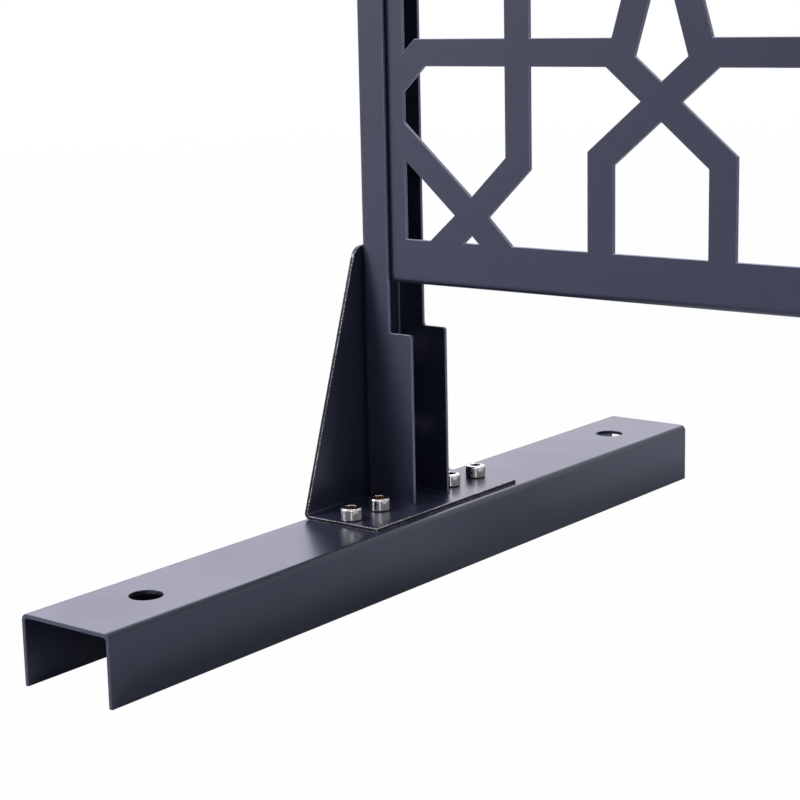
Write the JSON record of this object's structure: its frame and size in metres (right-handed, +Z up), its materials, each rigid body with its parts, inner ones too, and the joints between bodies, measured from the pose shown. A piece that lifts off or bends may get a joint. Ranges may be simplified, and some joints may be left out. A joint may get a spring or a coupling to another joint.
{
  "type": "laser cut metal screen",
  "caption": "Free-standing room divider: pan-folded metal panels laser cut with a star-and-ring lattice, stacked between channel posts on folded brackets and channel feet.",
  "frame": {"origin": "on the ground, under the middle of the feet front to back and of the screen's width", "axes": "+X along the screen, from its left post to its right as seen from the front; +Y from the front face of the panels to the back; +Z up"},
  "size_m": [1.2212, 0.435, 1.9395],
  "materials": {
    "powder_coat": "dark blue-grey powder coat, semi-gloss, with a fine even texture",
    "screw_steel": "bright turned stainless steel",
    "zinc_plate": "zinc-plated steel"
  },
  "bodies": {
    "root": {"foot_left": "powder_coat", "foot_right": "powder_coat", "bracket_left": "powder_coat", "bracket_right": "powder_coat", "post_left": "powder_coat", "post_right": "powder_coat", "panel_lower": "powder_coat", "panel_middle": "powder_coat", "panel_upper": "powder_coat", "foot_screws_left": "screw_steel", "foot_screws_right": "screw_steel", "foot_nuts_left": "zinc_plate", "foot_nuts_right": "zinc_plate", "post_screws_left": "screw_steel", "post_screws_right": "screw_steel", "post_nuts_left": "zinc_plate", "post_nuts_right": "zinc_plate", "lower_panel_screws_left": "screw_steel", "lower_panel_screws_right": "screw_steel", "middle_panel_screws_left": "screw_steel", "middle_panel_screws_right": "screw_steel", "upper_panel_screws_left": "screw_steel", "upper_panel_screws_right": "screw_steel", "lower_panel_inserts_left": "zinc_plate", "lower_panel_inserts_right": "zinc_plate", "middle_panel_inserts_left": "zinc_plate", "middle_panel_inserts_right": "zinc_plate", "upper_panel_inserts_left": "zinc_plate", "upper_panel_inserts_right": "zinc_plate"}
  },
  "joints": []
}
